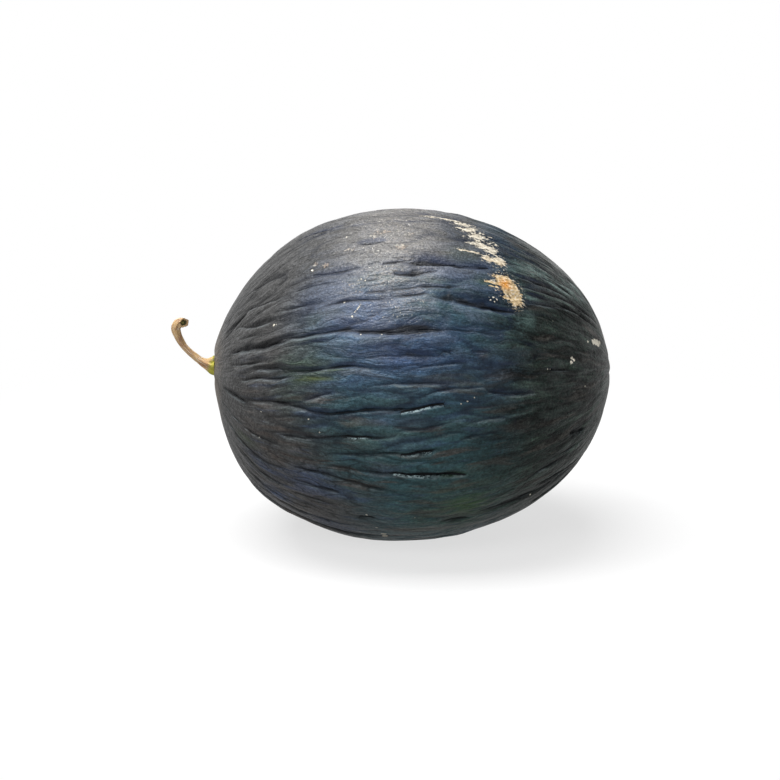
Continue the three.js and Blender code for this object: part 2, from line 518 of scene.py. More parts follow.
def wrinkle(at, settings):
    """How far the skin stands out at each vertex, in metres.

    Also adds to at what the material reads of the folds and the creases."""
    round_girth = wrapped(np.radians(at.angle), at.widest, at.lengthwise)
    sway = 2.4 * noise(round_girth / (30, 30, 48), 1) + 2.6 * noise(round_girth / (11, 11, 17), 2)
    sway += 0.9 * noise(round_girth / (5, 5, 9), 10)
    at.turned = np.radians(at.angle) + sway / at.widest
    at.flow = wrapped(at.turned, at.widest, at.lengthwise)
    slack = slackness(at)
    cut, lip, above, weight = broken_creases(at, round_girth, sway)
    apart = 1 - 0.4 * np.clip(cut / 0.8, 0, 1)  # folds are lower where a crease has drawn them in

    main = fold_noise(at, 10.5, 3, 4)
    fine = fold_noise(at, 4.6, 3.2, 5)
    lumps = noise(at.flow / (4.6, 4.6, 9), 8)
    broad = noise(at.flow / (19, 19, 75), 6)
    main_crest = crest_of(main, 1.8)
    fine_crest = crest_of(fine, 2.4)
    narrowing = np.minimum(at.girth / at.widest, 1)
    relief = settings.swell * broad * narrowing
    relief += settings.fold * (main_crest - 0.7) * slack * apart * narrowing ** 0.6
    relief += settings.wrinkle * (fine_crest - 0.7) * (0.5 + 0.5 * slack) * narrowing ** 0.5
    relief += settings.lump * lumps * slack * narrowing
    relief += (lip - cut) * MM
    relief -= 0.6 * MM  # so that the crests, and not the mean surface, keep to the outline
    ends = ramp(at.girth, 3, 22)
    relief *= ends

    # Both ends are gathered in; the flower has left a small, rimmed scar.
    gathers = noise(wrapped(at.turned, 2.4, at.along / 60), 9)
    relief += settings.pucker * gathers * ramp(at.girth, 2, 7) * ramp(at.girth, 26, 8)
    at_flower = (at.along > 0) * MM
    relief += at_flower * (0.5 * bell(at.girth, 5, 1.6) - 0.7 * bell(at.girth, 0, 3.4))

    # How much painted shade the creases and the valleys between folds get
    shade = np.clip(cut / 1.5, 0, 1) + 0.5 * (1 - main_crest) ** 2 * slack
    crest = 0.5 + 0.35 * (main_crest - 0.7) + 0.3 * (fine_crest - 0.7) + 0.4 * lumps
    at.crest = np.clip(crest, 0, 1)
    at.folds = np.column_stack([main, fine, slack])
    at.crease = np.column_stack([np.clip(shade * ends, 0, 1), above, weight])
    return relief


def sculpt_fruit(ball, settings):
    mesh = ball.data
    at = smooth_melon(ball, settings)
    places = at.body + at.outward * wrinkle(at, settings)[:, None]

    # It lies on its foot, which its weight has pressed flat, with a soft edge.
    soft = 0.5 * MM
    places[:, 2] = (places[:, 2] + np.sqrt(places[:, 2] ** 2 + soft ** 2)) / 2
    set_vertices(mesh, places)

    # How much each flank faces up, more than the smooth body does, for painted light and shade
    uphill = (0, 0, 1) - at.outward * at.outward[:, 2:]
    tilt = ((read_vertices(mesh, "normal") - at.outward) * uphill).sum(axis=1)

    store(mesh, "flow", at.flow)
    store(mesh, "place", np.column_stack([at.along, at.angle, np.zeros(len(at.along))]))
    store(mesh, "folds", at.folds)
    store(mesh, "crease", at.crease)
    store(mesh, "split", np.column_stack([*at.split, tilt]))
    store(mesh, "crest", at.crest)
    store(mesh, "girth", at.girth)
    store(mesh, "lifted", np.degrees(np.arcsin(np.clip(at.outward[:, 2], -1, 1))))
    store(mesh, "scar", scar_field(at.along, at.angle, at.girth))


# ---- Material helpers

class Value:
    """One output of a node, with which sums are written as with numbers."""

    def __init__(self, graph, socket):
        self.graph, self.socket = graph, socket

    def __abs__(self):
        return self.graph.math("ABSOLUTE", self)

    def __add__(self, other):
        return self.graph.math("ADD", self, other)

    def __sub__(self, other):
        return self.graph.math("SUBTRACT", self, other)

    def __rsub__(self, other):
        return self.graph.math("SUBTRACT", other, self)

    def __mul__(self, other):
        return self.graph.math("MULTIPLY", self, other)

    __radd__, __rmul__ = __add__, __mul__

    def span(self, low, high, to_low=0.0, to_high=1.0):
        """to_low where this is low, to_high where it is high, and smoothly between."""
        inputs = {"Value": self, "From Min": low, "From Max": high,
                  "To Min": to_low, "To Max": to_high}
        return self.graph.value("ShaderNodeMapRange", inputs, interpolation_type="SMOOTHSTEP")

    # The rest is for vectors and colours.

    def parts(self):
        outputs = self.graph.node("ShaderNodeSeparateXYZ", {0: self}).outputs
        return [Value(self.graph, socket) for socket in outputs]

    def vector(self, operation, inputs, output=0):
        inputs = {0: self, **inputs}
        return self.graph.value("ShaderNodeVectorMath", inputs, output, operation=operation)

    def scaled(self, *factors):
        return self.vector("MULTIPLY", {1: factors})

    def dimmed(self, factor):
        return self.vector("SCALE", {"Scale": factor})

    def length(self):
        return self.vector("LENGTH", {}, "Value")

    def noise(self, scale=1.0, detail=2.0, roughness=0.5):
        inputs = {"Vector": self, "Scale": scale, "Detail": detail, "Roughness": roughness}
        return self.graph.value("ShaderNodeTexNoise", inputs)

    def away(self, centre, middle, *scale):
        """Distance from a place, with its two axes scaled."""
        return self.vector("SUBTRACT", {1: (centre, middle, 0)}).scaled(*scale, 0).length()

    def patch(self, centre, middle, half_length, half_height):
        """1 in the middle of an oval, falling softly to 0 at its edge."""
        return self.away(centre, middle, 1 / half_length, 1 / half_height).span(1, 0)


def highest(*values):
    """The highest of some values, of which only the first may be a number."""
    return functools.reduce(lambda a, b: b.graph.math("MAXIMUM", a, b), values)


class Graph:
    """Adds nodes to one material or world, and links whatever is passed as an input."""

    def __init__(self, tree):
        self.tree = tree

    def node(self, kind, inputs=(), **options):
        made = self.tree.nodes.new(kind)
        for name, value in options.items():
            setattr(made, name, value)
        for name, value in dict(inputs).items():
            self.put(made.inputs[name], value)
        return made

    def put(self, socket, value):
        if isinstance(value, Value):
            self.tree.links.new(value.socket, socket)
        else:
            socket.default_value = value

    def value(self, kind, inputs=(), output=0, **options):
        return Value(self, self.node(kind, inputs, **options).outputs[output])

    def attribute(self, name, output="Fac"):
        return self.value("ShaderNodeAttribute", output=output, attribute_name=name)

    def math(self, operation, a, b=0.0, clamp=False):
        inputs = {0: a, 1: b}
        return self.value("ShaderNodeMath", inputs, operation=operation, use_clamp=clamp)

    def mix(self, share, a, b):
        inputs = {0: share}
        for place, colour in ((6, a), (7, b)):
            inputs[place] = colour if isinstance(colour, Value) else (*colour, 1.0)
        return self.value("ShaderNodeMix", inputs, 2, data_type="RGBA")

    def bump(self, height, distance):
        inputs = {"Height": height, "Distance": distance, "Strength": 1.0}
        return self.value("ShaderNodeBump", inputs)

    def surface(self, kind, inputs):
        """Adds the shader that the surface shows, and the output that it goes to."""
        self.node("ShaderNodeOutputMaterial", {"Surface": self.value(kind, inputs)})


def new_material(name):
    material = bpy.data.materials.new(name)
    material.use_nodes = True
    material.node_tree.nodes.clear()
    return material, Graph(material.node_tree)


# Patches of another tint: which setting, the middle along the melon in millimetres and up from
# the front in degrees, half the size along each, and the strength; a few are painted shade, one
# painted sheen
TINTED_PATCHES = (
    ("moss", 24, -42, 48, 34, 1),
    ("moss", -8, 8, 30, 12, 0.4),
    ("moss", -58, 8, 16, 12, 0.5),
    ("sage", 53, 34, 6, 6, 0.3),
    ("sage", 50, 59, 9, 6, 0.4),
    ("sage", 56, 48, 8, 5, 0.4),
    ("sage", 28, -2, 26, 4, 0.35),
    ("sage", -14, -6, 32, 14, 0.45),
    ("sage", 66, 64, 24, 16, 0.65),
    # Painted sheen on the upper rim
    ("sage", 82, 72, 14, 14, 0.5),
    ("moss", 22, 14, 20, 9, 0.5),
    ("moss", -56, 18, 18, 9, 0.8),
    ("slate", 23, 74, 16, 18, 0.9),
    # Painted shade on the flanks over creases, in these five patches
    ("navy", 29, 45, 12, 7, 0.35),
    ("navy", 27, 58, 11, 4, 0.35),
    ("navy", 10, 56, 10, 3, 0.4),
    ("deep", 48, 26, 10, 4, 0.7),
    ("navy", -36, 54, 16, 2, 0.4),
    ("indigo", 3, 44, 20, 4, 0.6),
    ("indigo", -19, 67, 10, 3, 0.5),
    # Painted shade over the long crease
    ("indigo", 2, 32, 17, 2.8, 0.8),
    ("indigo", -12, 24, 30, 11, 0.7),
    ("indigo", -36, 33, 24, 5, 0.3),
    ("indigo", -12, 0, 20, 5, 0.5),
    ("indigo", 20, 32, 20, 10, 0.3),
    ("indigo", -48, -25, 18, 7, 0.45),
    ("indigo", -68, -46, 12, 8, 0.5),
    ("indigo", -40, -56, 22, 9, 0.5),
    ("umber", -52, -14, 18, 6, 0.6),
    ("umber", -14, -17, 18, 4, 0.4),
    ("umber", -45, -38, 24, 6, 0.4),
    ("umber", 33, 21.5, 4, 2.5, 0.7),
    ("umber", -32, -10, 18, 5, 0.35),
    ("umber", -18, -30, 16, 5, 0.4),
)

# Patches laid over the wax, given as the tinted ones are: where the wax is thin or missing, and
# in the navy and deep ones painted shade over creases
BARE_PATCHES = (
    ("olive", -47, 16.5, 22, 5, 0.7),
    ("olive", -52, 13, 12, 3, 0.6),
    ("lime", -47, 13.4, 16, 1.3, 0.55),
    ("lime", -38, 16.4, 10, 0.9, 0.45),
    ("olive", -82, -20, 9, 6, 0.5),
    ("fern", 26, -38, 15, 10, 0.8),
    ("fern", 19, -21.4, 9, 1.6, 0.8),
    ("olive", -30, -7, 14, 2, 0.5),
    # Painted shade over creases, in these three patches
    ("navy", 8, 57.5, 16, 4, 0.75),
    ("navy", 2, 36.5, 24, 3, 0.3),
    ("deep", 35, 41.5, 17, 5, 0.8),
    ("moss", 24, 60, 14, 7, 0.4),
    ("moss", 34, 50, 9, 5, 0.7),
    # Painted shade over a crease
    ("deep", 24, 44, 12, 5, 0.4),
    ("sage", 56, 37, 5, 8, 0.35),
    ("dusk", -36, 38, 20, 12, 0.35),
    ("haze", 1, -1, 14, 3, 0.4),
    ("haze", -15, -19.5, 12, 4, 0.35),
)

# Pale specks of dried skin: along the melon and up from the front, and half size in millimetres
SPECKS = (
    (89.4, 37.2, 1.5), (90.8, 38.2, 2), (92.2, 38.6, 2.2), (93.4, 40.4, 1.2), (86.4, 35.4, 0.7),
    (77, 23, 0.8), (78.2, 22, 0.8), (76.8, 20.8, 0.9), (64.7, 16.9, 0.5), (66, 17, 0.19),
    (84.4, 6.6, 0.6), (68, 40.2, 0.26), (-67.4, 37.8, 0.6), (-66.2, 37.6, 0.26),
    (-48.5, 56.5, 0.6), (-32.2, 71.6, 0.5), (-25, 48.6, 0.22), (-33, 40, 0.3), (-23, 48, 0.22),
    (-27.9, 36.1, 0.2), (-27.4, 36.6, 0.2), (-26.8, 37.2, 0.2), (-26.3, 37.7, 0.2),
    (-25.8, 38.2, 0.18), (-25.2, 38.8, 0.16), (-29.2, 34.6, 0.3), (22.7, 4.7, 0.5),
    (26, 5.5, 0.22), (29, 6.7, 0.26), (-73.5, -0.5, 0.26), (-50, -1.5, 0.3), (-44.6, -6, 0.3),
    (-48, -6.2, 0.22), (-22.6, -41, 0.6), (-17.6, -51, 0.7), (-14.3, -57, 1.4), (-13.6, -60, 1.6),
    (1.1, -42.4, 0.34), (45, -39, 0.3), (58.7, -49, 0.34), (-74.8, -14, 0.3), (-15, 28, 0.22),
    (-25, 28.2, 0.26), (37.2, 42.6, 0.34), (38.5, 43.9, 0.34), (40.2, 43.2, 0.5),
    (39.2, 42.1, 0.3), (37.8, 44.6, 0.22), (41.2, 44.6, 0.22), (36.6, 43.6, 0.19),
    (42, 56.8, 0.22), (44, 57.6, 0.26), (45.6, 56.8, 0.22),
)

# Darker, duller patches, given as the others are, with the share by which they are darker; those
# at the rims, on the underside and beside creases are painted shade, and all dim the coat of wax
SHADED_DULL_PATCHES = (
    (2, 26, 44, 20, 0.3),
    (22, 72, 17, 16, 0.18),
    (64, -52, 44, 14, 0.5),
    (50, -50, 14, 8, 0.2),
    (88, -8, 16, 12, 0.2),
    (88, 26, 14, 14, 0.15),
    (34, 42, 15, 5, 0.25),
    (24, 60, 12, 6, 0.12),
    (-82, -52, 24, 13, 0.45),
    (-84, 6, 16, 22, 0.2),
    (-99, -8, 14, 34, 0.5),
    (8, 58, 20, 6, 0.25),
    (-50, 54, 18, 12, 0.1),
)

# Scuffed spots, where the wax has rubbed off in crumbs, given as the patches are
SCUFFS = (
    (-47.2, 59, 2.6, 2.4, 1),
    (-42, 57.6, 4.4, 2.4, 0.8),
    (-19, 69.2, 4, 2.6, 0.9),
    (-6, 62.4, 6.5, 3.2, 1),
    (-14, 71.6, 14, 2.2, 0.7),
    (-30, 62.6, 7, 2, 0.7),
    (-2, 69.6, 7, 2.4, 0.6),
    (-28, 46, 14, 6, 0.5),
)

# The dry scar that runs down from the top: blobs placed and sized as the specks are, but oval
SCAR_BLOBS = (
    (12, 85, 5.5, 1.2), (19, 83.6, 4.5, 1.6), (25.2, 81.8, 3.6, 2.4), (28.4, 78, 4.2, 2.6),
    (31.6, 74.2, 4, 3.2), (33.6, 69.4, 4.4, 2.6), (38.2, 68.4, 3, 4.2), (27.5, 63.2, 6.5, 0.55),
    (23.6, 63.3, 1.6, 1.2), (36.6, 61.8, 3, 2.6), (42.2, 62, 2.8, 4.2), (43.6, 52.6, 4.6, 3.6),
    (46, 49.4, 4.8, 5), (49.6, 45.8, 3.4, 5.6), (38.4, 50.4, 4, 0.8), (37.8, 48.6, 2, 0.7),
    (43, 47.6, 1.2, 1.2), (44.6, 45, 1, 1.2),
)
SCAR_HEART = (44.6, 50.8, 5, 4.2)  # rusty, and given as the patches are


def scar_field(along, angle, girth):
    """How far inside the scar each vertex lies: 1 in the middle of a blob, 0 on its edge."""
    inside = np.full(len(along), -3.0)
    for centre, turn, half_length, half_height in SCAR_BLOBS:
        up = np.radians(angle - turn) * girth
        inside = np.maximum(inside, 1 - np.hypot((along - centre) / half_length, up / half_height))
    return inside


class Rind:
    """The rind's material, made in layers, each of which is laid over the colour so far."""

    def __init__(self, settings):
        self.settings = settings
        self.material, g = new_material("rind")
        self.graph = g
        self.colour = settings.teal
        self.dry = 0.0  # how dry and rough the skin is, with no wax on it

        # From the mesh: along in millimetres, angle, which is up from the front, and lifted, which
        # is how far up the smooth body faces, in degrees, and what wrinkle() says of the folds
        self.place = g.attribute("place", "Vector")
        self.along, self.angle, _ = self.place.parts()
        self.girth = g.attribute("girth")
        self.lifted = g.attribute("lifted")
        self.crest = g.attribute("crest")
        self.main, self.fine, self.slack = g.attribute("folds", "Vector").parts()
        self.crease, self.above, self.weight = g.attribute("crease", "Vector").parts()
        self.above_split, self.split, self.tilt = g.attribute("split", "Vector").parts()

        # Noises that run along the folds, each with its size round the girth and lengthwise
        flow = g.attribute("flow", "Vector")

        def flowing(size, length, detail=3.0, roughness=0.6):
            return flow.scaled(1 / size, 1 / size, 1 / length).noise(1.0, detail, roughness)

        self.tone = flowing(24, 50, roughness=0.5)
        self.wander = flowing(7, 36)
        self.blotch = flowing(4, 13, detail=2.0, roughness=0.5)
        self.streak = flowing(2.6, 15, detail=4.0)
        self.fibre = flowing(1.3, 5.5)
        self.thread = flowing(1.1, 3.5)

        # Noises that lie evenly over the body
        local = g.value("ShaderNodeTexCoord", output="Object").scaled(1 / MM, 1 / MM, 1 / MM)
        self.leather = local.scaled(1 / 5.5, 1 / 2.8, 1 / 2.8).noise(detail=3.0, roughness=0.6)
        self.grain = local.scaled(1 / 1.6, 1 / 1.2, 1 / 1.2).noise(detail=3.0, roughness=0.65)
        self.dust = local.noise(1 / 1.1, detail=1.0)
        self.fleck = local.noise(1 / 0.8, detail=1.0)
        self.ragged = (self.grain - 0.5) * 2.4

        # The blossom half, its mottling, and the polished wax on top, whose colour has painted
        # sheen
        self.past = self.along.span(25, 60)
        mottled = self.wander.span(0.32, 0.66, -0.25, 0.25) + self.blotch.span(0.3, 0.7, -0.5, 0.5)
        self.mottled = mottled * self.past
        on_top = self.along.span(-50, -8) * self.along.span(22, -6)
        self.polish_and_painted_sheen = self.lifted.span(10, 48) * on_top

        # Grooves finer than the mesh can show them, and the creases' bottoms
        self.groove = abs(self.fine).span(0.12, 0) * self.tone.span(0.62, 0.45)
        self.line = abs(self.above).span(0.9, 0.1) * self.weight

    def lay(self, share, tint):
        """Lays a colour, or the one of the settings that has this name, over the colour so far."""
        if isinstance(tint, str):
            tint = getattr(self.settings, tint)
        self.colour = self.graph.mix(share, self.colour, tint)

    def lay_patches(self, patches, streaky):
        for tint, *oval, strength in patches:
            self.lay(self.place.patch(*oval) * streaky * strength, tint)

    def lay_bloom(self):
        """Grey, then blue, then dark green, from the stem end on, with streaks of other tints."""
        along, lifted, wander = self.along, self.lifted, self.wander
        self.lay(self.tone.span(0.35, 0.6) * lifted.span(-4, 24), "blue")
        self.lay(lifted.span(40, 60) * along.span(50, 25), "dusk")
        drawn = along + lifted.span(-8, -45, 0, -26) + lifted.span(30, 55, 0, -14)
        self.lay(drawn.span(-25, -70), "grey")
        self.lay(along.span(5, 62), "deep")
        below = lifted.span(30, 0) * along.span(60, 20) * along.span(-92, -70)
        self.lay(below * wander.span(0.48, 0.36, 0, 0.75), "umber")
        self.lay(below * wander.span(0.53, 0.66, 0, 0.4), "indigo")
        self.lay(self.past * wander.span(0.48, 0.34, 0, 0.4), "umber")
        self.lay(self.past * wander.span(0.54, 0.68, 0, 0.45), "moss")
        self.lay_patches(TINTED_PATCHES, self.streak.span(0.35, 0.6, 0.3, 1))

    def mottle(self):
        """Streaks, fibres, leathery mottling and grain lighten and darken it; light and shade are
        painted.
        """
        along, lifted = self.along, self.lifted
        reach = self.graph.math(
            "MINIMUM", lifted.span(25, 60, 0.22, 0.14), lifted.span(-15, 10, 0.18, 0.22))
        shade = self.leather.span(0.3, 0.7, 0.82, 1.18) * self.grain.span(0.3, 0.7, 0.72, 1.28)
        for threads in (self.streak, self.fibre):
            shade = shade * (1.0 + threads.span(0.3, 0.7, -1, 1) * reach)
        shade = (shade - 1.0) * along.span(20, 65, 1, 1.6) + 1.0
        # Painted light where a flank faces up, painted shade where it faces down
        shade = shade * self.tilt.span(-0.7, 0.7, 0.72, 1.28) + self.mottled
        # Painted shade low down towards the stem end
        shaded_low_end = highest(lifted, along + 65).span(10, -30, 1, 0.6)
        self.colour = self.colour.dimmed(highest(0.25, shade) * shaded_low_end)

    def lay_wax(self):
        """Wax and painted sheen on the crests, bluer in front, greyer on top; dust; painted edge
        highlights.
        """
        along, lifted, grain = self.along, self.lifted, self.grain
        # Wax bloom on the crests, partly painted sheen: blue-grey in front, grey on top
        haze_and_sheen = along.span(-62, -22) * along.span(55, 15) * lifted.span(10, 36)
        haze_and_sheen = haze_and_sheen * lifted.span(62, 44, 0.25, 0.6)
        self.lay(haze_and_sheen * self.crest.span(0.4, 0.62) * grain.span(0.36, 0.6, 0.4, 1), "haze")
        wax_and_sheen = self.polish_and_painted_sheen * lifted.span(24, 46) * lifted.span(35, 65, 0.75, 1)
        self.lay(wax_and_sheen * self.crest.span(0.1, 0.6) * grain.span(0.38, 0.6), "wax")
        dusty = self.dust.span(0.66, 0.74) * self.polish_and_painted_sheen.span(0.1, 0.9, 0.03, 0.6)
        self.lay(dusty, "chalk")

        # Painted highlights on the upper edges of the folds, and on the lower edges of the creases
        self.lay(self.tilt.span(0.1, 0.4) * self.fibre.span(0.42, 0.65, 0.1, 0.45), "edge_highlight")
        edge = self.above.span(-2.0, -0.9) * self.above.span(-0.4, -0.7) * self.weight
        self.lay(edge * self.fibre.span(0.44, 0.62, 0, 0.5), "edge_highlight")
        self.lay_patches(BARE_PATCHES, self.streak.span(0.32, 0.55, 0.3, 1))

    def shade_and_dull(self):
        """Dims it by a fine grain and darker, duller patches, partly painted shade; remembers how
        much.
        """
        reach = highest(self.lifted.span(30, 60, 0.32, 1), self.past * 0.8)
        dimmer = 1.0 + self.fleck.span(0.3, 0.7, -0.32, 0.32) * reach
        for *oval, strength in SHADED_DULL_PATCHES:
            dimmer = dimmer * self.place.patch(*oval).span(0, 1, 1, 1.0 - strength)
        self.colour = self.colour.dimmed(dimmer)
        self.dimmer = dimmer

    def lay_creases(self):
        """Painted shade on down-facing flanks, valleys and creases; painted highlights on the split
        lips.
        """
        along, lifted, crease, tone = self.along, self.lifted, self.crease, self.tone
        g, navy, dark = self.graph, self.settings.navy, self.settings.dark
        # Painted shade, navy on the front and dark elsewhere, on flanks that face down and in
        # creases
        shady = g.mix(along.span(-35, -70), navy, dark)
        shady = g.mix(highest(along.span(45, 75), lifted.span(8, -18)), shady, dark)
        shaded_flank = self.tilt.span(-0.04, -0.35) * lifted.span(-5, 25, 0.15, 0.7)
        self.lay(highest(shaded_flank, crease.span(0.1, 0.5, 0, 0.5)), shady)
        # Painted shade, nearly black, in the valleys, grooves and creases
        valley_shade = abs(self.main).span(0.14, 0) * self.slack * tone.span(0.35, 0.6, 0.1, 0.4)
        groove_shade = self.groove * lifted.span(5, -20, 0.2, 0.65) * along.span(-10, -35, 0.3, 1)
        deep = crease.span(0.55, 1, 0, 0.85)
        self.lay(highest(valley_shade, groove_shade, deep, self.line * 0.9), "dark")

        above, split = self.above_split, self.split
        # Painted shade in the splits' clefts
        self.lay(above.span(-0.4, -0.25) * above.span(0.6, 0.3) * split.span(0.25, 0.45), "dark")
        # Painted highlight on the splits' lower lips, which are also smoother
        lip = above.span(-1.6, -0.6) * above.span(-0.35, -0.55) * split.span(0.3, 0.7)
        self.lip = lip * self.grain.span(0.42, 0.58) * self.blotch.span(0.38, 0.55, 0.15, 1)
        self.lay(self.lip, "lip")

    def lay_ends(self):
        """Dry skin gathered round the stem, and the scar that the flower has left."""
        girth, along = self.girth, self.along
        gathered = girth.span(34, 8) * along.span(-80, -92) * self.streak.span(0.35, 0.6, 0.15, 0.7)
        flower = (girth + self.ragged).span(5.4, 4.6) * along.span(70, 80)
        self.lay(highest(gathered, flower), "husk")
        self.lay(flower * girth.span(2.6, 1.4), "umber")
        self.dry = highest(self.dry, flower)

    def lay_crumbs(self):
        """Crumbs of rubbed wax on the scuffs."""
        g, settings = self.graph, self.settings
        scuffed = 0.0
        for *oval, strength in SCUFFS:
            scuffed = highest(scuffed, self.place.patch(*oval) * strength)
        rubbed = scuffed + (self.dust - 0.5) * 2.0 + self.ragged * 0.6
        crumbs = rubbed.span(0.5, 0.9) * scuffed.span(0.02, 0.15)
        crumb = g.mix(self.leather.span(0.45, 0.6), settings.crumb, settings.chalk)
        self.lay(crumbs * 0.5, crumb)
        self.dry = highest(self.dry, crumbs * 0.6)

    def lay_scar(self):
        """The corky scar with its rusty heart, dust round it, and the specks."""
        g, settings, angle, grain = self.graph, self.settings, self.angle, self.grain
        inside = g.attribute("scar")
        inside = highest(inside, inside * 2.0)
        rough = ((self.thread - 0.5) * 2.6 + self.ragged) * angle.span(60, 74, 1, 2.1)
        scarred = (inside + rough).span(-0.05, 0.25) * angle.span(60, 74, 1, 0.85)
        corky = g.mix(angle.span(52, 68, 0, 0.7), settings.cork, settings.chalk)
        heart = self.place.patch(*SCAR_HEART) * self.leather.span(0.3, 0.5)
        corky = g.mix(heart, corky, settings.rust).dimmed(grain.span(0.3, 0.62, 0.5, 1.1))
        self.lay(scarred, corky)
        dusted = inside.span(-0.9, 0.1) * grain.span(0.56, 0.62) * 0.8
        self.lay(dusted, "chalk")

        nearest = 9.0
        for centre, middle, radius in SPECKS:
            scale = skin_scale(centre, middle, settings)
            outside = self.place.away(centre, middle, *scale) - radius
            nearest = g.math("MINIMUM", nearest, outside)
        speck = (nearest + self.ragged).span(0.1, -0.2)
        self.lay(speck, "flake")
        self.dry = highest(self.dry, scarred, speck, dusted)

    def finish(self):
        """Adds the finest relief and the shader, whose coat is the wax, missing where it is dry."""
        g, lifted, dry = self.graph, self.lifted, self.dry
        height = self.leather * 0.9 + self.streak * 0.8 + self.fibre * 0.3 + self.grain * 0.4
        bump = g.bump(height + self.line * -0.5 + self.groove * -0.15 + dry * 0.3, MM)
        roughness = self.leather.span(0.3, 0.7, 0.38, 0.50) * self.lip.span(0, 1, 1, 0.5)
        gloss = self.polish_and_painted_sheen * 0.6 * lifted.span(85, 60, 0.4, 1)
        gloss = highest(gloss, lifted.span(32, 60) * self.along.span(40, 85))
        gloss = (gloss + lifted.span(-20, 20, 0.10, 0.18)) * self.dimmer * (self.mottled + 1.0)
        g.surface("ShaderNodeBsdfPrincipled", {
            "Base Color": self.colour,
            "Roughness": highest(roughness, dry * 0.9),
            "Specular IOR Level": 0.08,
            "Normal": bump,
            "Coat Weight": g.math("SUBTRACT", gloss * 1.5, 0.12, clamp=True) * (1.0 - dry),
            "Coat Roughness": 0.44,
            "Coat IOR": 1.6,
            "Coat Normal": bump,
        })


def rind_material(settings):
    rind = Rind(settings)
    rind.lay_bloom()
    rind.mottle()
    rind.lay_wax()
    rind.shade_and_dull()
    rind.lay_creases()
    rind.lay_ends()
    rind.lay_crumbs()
    rind.lay_scar()
    rind.finish()
    return rind.material


# ---- The stem

# The stem's centreline, in millimetres along X, across Y and above the melon's middle
STEM_ROUTE = (
    (-99.5, 0, 4.5), (-101.1, 0, 4.6), (-104.9, 0, 6.4), (-108.9, -0.1, 9.2),
    (-113.7, -0.4, 13.9), (-117.1, -0.8, 19.2), (-118.5, -1.2, 24), (-117.8, -1.6, 26.5),
    (-116.3, -2.2, 27.8), (-114.3, -3, 27.8),
)
ROUTE_STEPS = 400
HEADING_REACH = 0.3 * MM  # the stem's heading is read from this far behind to this far ahead
STEM_SECTORS = 96
STEM_RINGS = 150
BASE_RINGS = 6  # rings that close the stem's base
CUT_RINGS = 14  # rings across its cut end
CUT_SLANT = 0.6  # how far the cut end is turned to the front, as a share of its radius
CUT_HOLLOW = 0.9 * MM
RIDGES = 5
RIDGE_TWIST = 0.5  # how far the ridges turn over the stem's length, in radians
WEB_HEIGHT = 1.6 * MM  # of the web on top of its base


def stem_frames(share, middle):
    """The stem's centre, heading and two directions across it, at each share of its length."""
    route = np.array(STEM_ROUTE) * MM + (0, 0, middle)
    fine = smooth_through(route, np.linspace(0, 1, ROUTE_STEPS))
    gone = np.concatenate([[0], np.cumsum(np.linalg.norm(np.diff(fine, axis=0), axis=1))])

    def at(travelled):
        return np.column_stack([np.interp(travelled, gone, fine[:, k]) for k in range(3)])

    travelled = share * gone[-1]
    heading = at(travelled + HEADING_REACH) - at(travelled - HEADING_REACH)
    heading /= np.linalg.norm(heading, axis=1, keepdims=True)
    aside = np.cross(heading, (0, 1, 0))
    aside /= np.linalg.norm(aside, axis=1, keepdims=True)
    return at(travelled), heading, aside, np.cross(heading, aside)


def sculpt_stem(ball, settings, middle):
    mesh = ball.data
    x, y, z = read_vertices(mesh, "co").T
    ring = np.rint(np.arccos(np.clip(-z, -1, 1)) / math.pi * STEM_RINGS)
    around = np.arctan2(y, x)
    side_rings = STEM_RINGS - BASE_RINGS - CUT_RINGS
    share = np.clip((ring - BASE_RINGS) / side_rings, 0, 1)
    closing = np.clip(ring / BASE_RINGS, 0, 1)
    cut = np.clip((STEM_RINGS - ring) / CUT_RINGS, 0, 1)

    # Thinner in the middle, flared at its base, swollen at the cut end, ridged and fibrous
    radius = settings.middle_radius * (1 - 0.16 * bell(share, 0.45, 0.25))
    radius += settings.base_flare * np.exp(-share / 0.09)
    radius += settings.tip_swell * ramp(share, 0.55, 0.85)
    ridge = 0.07 + 0.14 * np.exp(-share / 0.12)
    radius *= closing * cut * (1 - ridge * np.cos(RIDGES * (around + RIDGE_TWIST * share)))
    radius += WEB_HEIGHT * bell(np.cos(around), -1, 0.25) * bell(share, 0.08, 0.06)
    tube = wrapped(around, 4, share * 40)
    radius *= 1 + 0.10 * noise(tube / (2, 2, 6), 11) + 0.05 * noise(tube / (1, 1, 5), 12)

    centre, heading, aside, across = stem_frames(share, middle)
    sunk = CUT_HOLLOW * ramp(cut, 0.85, 0.3) * (ring > STEM_RINGS - CUT_RINGS)
    sunk += CUT_SLANT * np.sin(around) * radius * ramp(share, 0.93, 1.0)
    set_vertices(mesh, centre + aside * (np.cos(around) * radius)[:, None]
                 + across * (np.sin(around) * radius)[:, None] - heading * sunk[:, None])
    store(mesh, "fibre", tube)
    store(mesh, "length", share)
    store(mesh, "cut", 1 - cut)


def stem_material(settings):
    material, g = new_material("dry_stem")
    fibre = g.attribute("fibre", "Vector")
    share = g.attribute("length")
    cut = g.attribute("cut")
    blotch = fibre.scaled(0.35, 0.35, 0.2).noise(detail=3.0)
    streak = fibre.scaled(1.1, 1.1, 0.25).noise()
    colour = g.mix(blotch.span(0.46, 0.62), settings.straw, settings.brown)
    colour = g.mix(streak.span(0.52, 0.70), colour, settings.pale)
    fresh = share + (streak - 0.5) * 0.1
    colour = g.mix(fresh.span(0.12, 0.05), colour, settings.green)
    colour = g.mix(cut.span(0.25, 0.45), colour, settings.hollow)
    colour = g.mix(cut.span(0.6, 0.85), colour, settings.pith)
    g.surface("ShaderNodeBsdfPrincipled", {
        "Base Color": colour, "Roughness": 0.8, "Normal": g.bump(streak, 0.12 * MM)})
    return material


# ---- The stage

